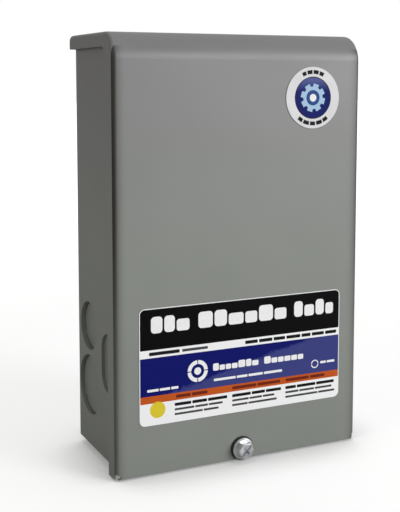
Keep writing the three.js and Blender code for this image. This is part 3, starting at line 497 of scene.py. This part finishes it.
def arc_band(centre, inner, outer, start, end, steps=24):
    """Part of a flat ring, as an outline, from start to end degrees."""
    angles = [math.radians(start + (end - start) * i / steps) for i in range(steps + 1)]
    near = [(centre[0] + inner * math.cos(a), centre[1] + inner * math.sin(a)) for a in angles]
    far = [(centre[0] + outer * math.cos(a), centre[1] + outer * math.sin(a)) for a in reversed(angles)]
    return near + far


def disc(centre, radius, steps=40):
    """A round outline."""
    angles = [2 * math.pi * i / steps for i in range(steps)]
    return [(centre[0] + radius * math.cos(a), centre[1] + radius * math.sin(a)) for a in angles]


def label_graphics():
    """Plain bars and rings in place of the label's words and marks."""
    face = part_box("front_label")[0].y
    title = []
    for x0, x1, count in ((-56, -33, 3), (-27.6, 28.6, 6), (33.8, 60.4, 4)):
        title += blocks(x0, x1, foot=39.2, heights=(9.2, 6.6), count=count)
    mark = (-28, 15.1)
    ring = [arc_band(mark, 4.0, 6.2, start, start + 84, 12) for start in (3, 93, 183, 273)]
    white = title + ring + [disc(mark, 2.1)]
    for x0, x1, count in ((-18.5, 10.4, 7), (14.2, 40.2, 6)):
        white += blocks(x0, x1, foot=13.9, heights=(4.2, 3.0), count=count)
    white += word_bars(-58.4, -39.8, middle=7.5, height=1.4, words=3)
    white += word_bars(-18, 26, middle=8.6, height=1.4, words=4)
    white += word_bars(52, 61.8, middle=10.2, height=1.4, words=2)
    white += [arc_band((48.2, 9.7), 1.9, 2.5, start, start + 170) for start in (5, 185)]
    prints("label_white_print", white, INKS["white"], face)
    model_line = 27.9
    black = word_bars(-57.2, -39, model_line, height=1.9)
    black += word_bars(1.8, 62.8, model_line, height=1.9, words=7)
    # each column's left edge, and where its three lines end
    columns = ((-42, (-9.6, -12.5, -15)), (-6.4, (25.4, 21, 22.6)), (28.4, (61.6, 60, 62)))
    for x0, ends in columns:
        black += word_bars(x0, ends[0], middle=-2.1, height=1.7, words=3, share=0.4)
    prints("label_black_print", black, INKS["black"], face)
    grey = word_bars(-37.4, -21.8, model_line, height=1.5)
    for x0, ends in columns:
        grey += word_bars(x0, ends[1], middle=-4.9, height=1.2, words=3)
        grey += word_bars(x0, ends[2], middle=-7.6, height=1.2, words=2)
    prints("label_grey_print", grey, INKS["grey"], face)
    red = []
    for x0, x1 in ((-41.2, -22), (-6.4, 24.8), (28.6, 55)):
        red += word_bars(x0, x1, middle=2.4, height=1.7, words=2)
    prints("label_red_print", red, INKS["red"], face)
    prints("label_yellow_print", [disc((-52.2, -3.6), 4.6)], INKS["yellow"], face)


def gear(centre, root, tip, teeth):
    """A toothed wheel's outline."""
    outline = []
    pitch = 360 / teeth
    for tooth in range(teeth):
        for share, radius in ((0.0, root), (0.3, root), (0.38, tip), (0.92, tip)):
            angle = math.radians(pitch * (tooth + share))
            outline.append((centre[0] + radius * math.cos(angle), centre[1] + radius * math.sin(angle)))
    return outline


def badge_graphics():
    """A toothed wheel and plain arcs in place of the badge's words and mark."""
    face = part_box("round_badge")[0].y
    centre = tuple(part / MM for part in BADGE_CENTRE)
    upper = [(118, 108), (105, 92), (89, 76), (73, 62)]
    lower = [(-130, -118), (-115, -100), (-97, -84), (-81, -66), (-63, -50)]
    arcs = [arc_band(centre, 13.6, 15.8, start, end, 8) for start, end in upper + lower]
    prints("badge_black_print", arcs, INKS["black"], face)
    prints("badge_pale_print", [gear(centre, 6.4, 8.2, 8)], INKS["pale"], face)
    prints("badge_blue_print", [disc(centre, 4.4)], INKS["blue"], face - INK_THICK)
    prints("badge_hub_print", [disc(centre, 2.2)], INKS["white"], face - 2 * INK_THICK)


# ---- details inside the box ----

SQUARING = 0.6  # 1 gives an ellipse and 0 a sharp rectangle
RELAY_TABS = (22.6, 35.0, 47.4)
CAPACITOR_TABS = (-43.0, -27.0)
TERMINAL_PITCH = 20
SHEET = 1.2
BASE_HALF = 74.2  # from the middle to the outside of the base's side


def squarish_ring(x, y, z, half_x, half_y, sides=32):
    """Points round a rectangle with rounded corners, at height z."""
    ring = []
    for step in range(sides):
        angle = 2 * math.pi * step / sides
        u, v = math.cos(angle), math.sin(angle)
        across = half_x * math.copysign(abs(u) ** SQUARING, u)
        along = half_y * math.copysign(abs(v) ** SQUARING, v)
        ring.append((x + across, y + along, z))
    return ring


def sleeve(name, place, foot, profile, look):
    """A soft sleeve round a tab. The profile lists (height, half width in x, half width in y)."""
    x, y = place
    rings = [squarish_ring(x, y, foot + height, half_x, half_y) for height, half_x, half_y in profile]
    lofted(name, rings, look)


def tab_profile(wide, narrow, tall, along_x):
    """A sleeve that starts snug on the wire, widens over the tab and carries a gripping rib."""
    snug = [(0.0, 1.6, 1.6), (0.2, 1.8, 1.8), (2.2, 1.9, 1.85)]
    body = [(4.0, -0.3, -0.1), (4.6, 0, 0), (6.2, 0, 0), (6.4, 0.2, 0.2), (7.2, 0.2, 0.2), (7.4, 0, 0)]
    mouth = [(tall - 0.5, 0, 0), (tall - 0.1, -0.2, -0.2), (tall, -0.4, -0.4)]
    steps = snug + [(height, wide + a, narrow + b) for height, a, b in body + mouth]
    return [(height, a, b) if along_x else (height, b, a) for height, a, b in steps]


def wire_sleeves():
    """Push-on sleeves on the relay's and the capacitor's tabs, and shrink sleeves on the plug's tails."""
    relay = tab_profile(4.0, 1.8, 13.0, along_x=True)
    for i, x in enumerate(RELAY_TABS):
        sleeve(f"relay_sleeve_{i + 1}", (x, -70.2), 88.2, relay, SLEEVES["nylon"])
    capacitor = tab_profile(3.8, 1.7, 13.2, along_x=False)
    for i, x in enumerate(CAPACITOR_TABS):
        sleeve(f"capacitor_sleeve_{i + 1}", (x, -55.0), 91.4, capacitor, SLEEVES["nylon"])
    tail = ((0, 1.0, 2.7), (0.3, 1.4, 2.95), (8.2, 1.45, 2.95))
    tail += ((9.4, 1.7, 1.9), (12.4, 1.72, 1.72), (12.7, 1.6, 1.6))
    for i in range(5):
        sleeve(f"plug_sleeve_{i + 1}", (TERMINAL_PITCH * (i - 2), -60.5), 67.1, tail, SLEEVES["shrink"])


def return_spring():
    """The relay's return spring with closed end turns."""
    foot, top = 144.43, 148.28
    radius, wire = 1.8, 0.25
    turns, steps, sides = 4, 200, 12
    slowing = 0.48  # at the ends, where the turns lie close together
    rings = []
    for step in range(steps + 1):
        t = step / steps
        angle = 2 * math.pi * turns * t
        rise = t - slowing * math.sin(2 * math.pi * t) / (2 * math.pi)
        out = Vector((math.cos(angle), math.sin(angle), 0))
        middle = Vector((35, -62.2, foot + (top - foot) * rise)) + radius * out
        around = [2 * math.pi * side / sides for side in range(sides)]
        rings.append([middle + wire * (math.cos(a) * out + math.sin(a) * Vector((0, 0, 1))) for a in around])
    spring = lofted("return_spring", rings, LOOKS["zinc_plate"])
    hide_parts("relay_spring")
    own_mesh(spring)


def spot_welds():
    """Shallow round craters where the strap's and the bracket's feet are welded to the cover."""
    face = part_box("plug_bracket")[0].y / MM + SHEET
    crater = ((3.0, -0.05), (2.8, 0.1), (2.4, 0.17), (2.0, 0.1), (1.7, 0.02), (0.3, 0.05))  # radius, height
    strap_feet = [(-60.9, 141), (-9.1, 141)]
    bracket_feet = [(side * 59.5, z) for side in (-1, 1) for z in (65.5, 76.5)]
    for i, (x, z) in enumerate(strap_feet + bracket_feet):
        rings = []
        for radius, height in crater:
            rings.append([(u, face + height, v) for u, v in disc((x, z), radius, 28)])
        lofted(f"spot_weld_{i + 1}", rings, LOOKS["zinc_plate"])


def knockout_seams():
    """The sheared edge round each knockout's floor, broken by the ties that hold it."""
    cups = (((-26, 34.5), 14.1, 2.6), ((-27, -0.3), 17.45, 2.2))  # centre, radius and depth
    for side, name in ((-1, "left"), (1, "right")):
        for number, (centre, radius, depth) in enumerate(cups):
            floor = side * (BASE_HALF - depth) * MM
            arcs = []
            for start in (90, 210, 330):
                arcs.append(arc_band(centre, radius - 0.75, radius - 0.1, start + 5, start + 115, 40))
            seam = f"knockout_seam_{name}_{number + 1}"
            thick = side * 0.04 * MM
            prints(seam, arcs, INKS["grey"], floor, thick, "base", across="x")


def line(x0, z0, x1, z1, wide=0.35):
    """A straight stroke along x or z, as an outline."""
    half = wide / 2
    low_x, high_x = min(x0, x1) - half, max(x0, x1) + half
    low_z, high_z = min(z0, z1) - half, max(z0, z1) + half
    return [(low_x, low_z), (high_x, low_z), (high_x, high_z), (low_x, high_z)]


def path(*corners):
    """Strokes from corner to corner."""
    return [line(*a, *b) for a, b in zip(corners, corners[1:])]


def frame_lines(x0, z0, x1, z1, wide=0.35):
    """Four strokes round a rectangle."""
    return [
        line(x0, z0, x1, z0, wide),
        line(x0, z1, x1, z1, wide),
        line(x0, z0, x0, z1, wide),
        line(x1, z0, x1, z1, wide),
    ]


def diagram_art():
    """A plain wiring diagram without words: five terminals, the capacitor, the coil and the contact."""
    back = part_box("diagram_label")[1].y
    art = frame_lines(-43.5, -9.5, 43.5, 41.5, 0.5)
    for i in range(5):
        x = 15 * (i - 2)
        art += [arc_band((x, -1), 1.5, 1.9, start, start + 180, 12) for start in (0, 180)]
        art += frame_lines(x - 4, -5.2, x + 4, 3.2, 0.3)
    art += path((-30, 1), (-30, 20)) + path((-30, 23), (-30, 34), (0, 34), (0, 1))
    art += [line(-33, z, -27, z, wide=0.6) for z in (20, 23)]
    art += path((-15, 1), (-15, 12), (0, 12)) + path((15, 1), (15, 14)) + path((30, 1), (30, 26), (24, 26))
    for turn in range(4):
        art.append(arc_band((15, 15.4 + 2.8 * turn), 1.1, 1.5, -90, 90, 12))
    art += path((15, 25), (15, 34), (0, 34)) + path((18, 26), (12, 26))
    art += [arc_band((x, 26), 0.7, 1.1, start, start + 180, 8) for x in (19.2, 22.8) for start in (0, 180)]
    prints("diagram_lines", art, INKS["grey"], back, INK_THICK)


# ---- stage ----


def lamp(name, place, target, size, power, tint=(1, 1, 1)):
    """A soft rectangular light that looks at a target."""
    data = bpy.data.lights.new(name, "AREA")
    data.shape = "RECTANGLE"
    data.size, data.size_y = size
    data.energy = power
    data.color = tint
    light = bpy.data.objects.new(name, data)
    light.location = place
    light.rotation_euler = (Vector(target) - Vector(place)).to_track_quat("-Z", "Y").to_euler()
    bpy.context.scene.collection.objects.link(light)


FLOOR_LEVEL = -41 * MM
FLOOR_HALF = 9


def pale_floor():
    """A staged floor. The camera sees it brighter than it lights the object, and a painted shadow darkens it
    near the object.
    """
    source = bmesh.new()
    square = ((-1, -1), (1, -1), (1, 1), (-1, 1))
    corners = [source.verts.new((FLOOR_HALF * x, FLOOR_HALF * y, FLOOR_LEVEL)) for x, y in square]
    source.faces.new(corners)
    mesh = bpy.data.meshes.new("floor")
    source.to_mesh(mesh)
    source.free()
    g = Graph("floor")
    reach = g.node("ShaderNodeVectorMath", {0: g.place}, operation="LENGTH").outputs["Value"]
    seen = g.node("ShaderNodeLightPath").outputs["Is Camera Ray"]
    shine = g.math("MULTIPLY", seen, g.span(reach, 0.25, 1.3, 0.62, 1.0))
    # painted shadow: the floor's glow is dimmed where the object hides the sky
    open_sky = g.node("ShaderNodeAmbientOcclusion", {"Distance": 45 * MM}, samples=8).outputs["AO"]
    shine = g.math("MULTIPLY", shine, g.span(open_sky, 0.4, 0.95, 0.4, 1.0))
    tint = g.mix(g.noise(0.5, 2), (0.50, 0.50, 0.50), (0.52, 0.52, 0.52))
    look = g.finish(Base_Color=tint, Roughness=0.9, Emission_Color=(1, 1, 1, 1), Emission_Strength=shine)
    mesh.materials.append(look)
    floor = bpy.data.objects.new("floor", mesh)
    bpy.context.scene.collection.objects.link(floor)


def set_sky():
    """A soft studio, brightest on the right and a little above; the camera itself sees it as plain white."""
    world = bpy.data.worlds.new("sky")
    world.use_nodes = True
    tree = world.node_tree
    toward = tree.nodes.new("ShaderNodeVectorMath")
    toward.operation = "DOT_PRODUCT"
    tree.links.new(tree.nodes.new("ShaderNodeTexCoord").outputs["Generated"], toward.inputs[0])
    toward.inputs[1].default_value = (0.92, 0.10, 0.38)
    glow = tree.nodes.new("ShaderNodeMapRange")
    for name, value in {"From Min": -0.9, "From Max": 0.9, "To Min": 0.03, "To Max": 0.75}.items():
        glow.inputs[name].default_value = value
    tree.links.new(toward.outputs["Value"], glow.inputs["Value"])
    seen = tree.nodes.new("ShaderNodeMix")
    seen.inputs["B"].default_value = 1.0
    tree.links.new(tree.nodes.new("ShaderNodeLightPath").outputs["Is Camera Ray"], seen.inputs["Factor"])
    tree.links.new(glow.outputs[0], seen.inputs["A"])
    background = tree.nodes["Background"]
    background.inputs["Color"].default_value = (1, 1, 1, 1)
    tree.links.new(seen.outputs[0], background.inputs["Strength"])
    bpy.context.scene.world = world


def set_stage():
    """A pale floor under a soft sky, a large lamp ahead on the right and a weaker, warm one on the left."""
    pale_floor()
    set_sky()
    lamp("key", place=(2.2, -2.9, 1.0), target=(0, 0, 0.08), size=(1.6, 1.6), power=88)
    warm = (1.0, 0.95, 0.85)
    lamp("left", place=(-2.6, -0.6, 1.2), target=(0, 0, 0.1), size=(1.4, 1.4), power=15, tint=warm)
    bpy.context.scene.view_settings.view_transform = "Standard"


def set_camera():
    """A view from the front left, a little above the middle."""
    data = bpy.data.cameras.new("camera")
    data.lens = 69.36
    data.shift_y = -0.15
    camera = bpy.data.objects.new("camera", data)
    camera.location = (-255.3 * MM, -561.7 * MM, 175.4 * MM)
    downward, toward_right = 5.65, 25.23
    camera.rotation_euler = (math.radians(90 - downward), 0, math.radians(-toward_right))
    bpy.context.scene.collection.objects.link(camera)
    bpy.context.scene.camera = camera


dress_nodes()
label_graphics()
badge_graphics()
wire_sleeves()
return_spring()
spot_welds()
knockout_seams()
diagram_art()
set_stage()
set_camera()
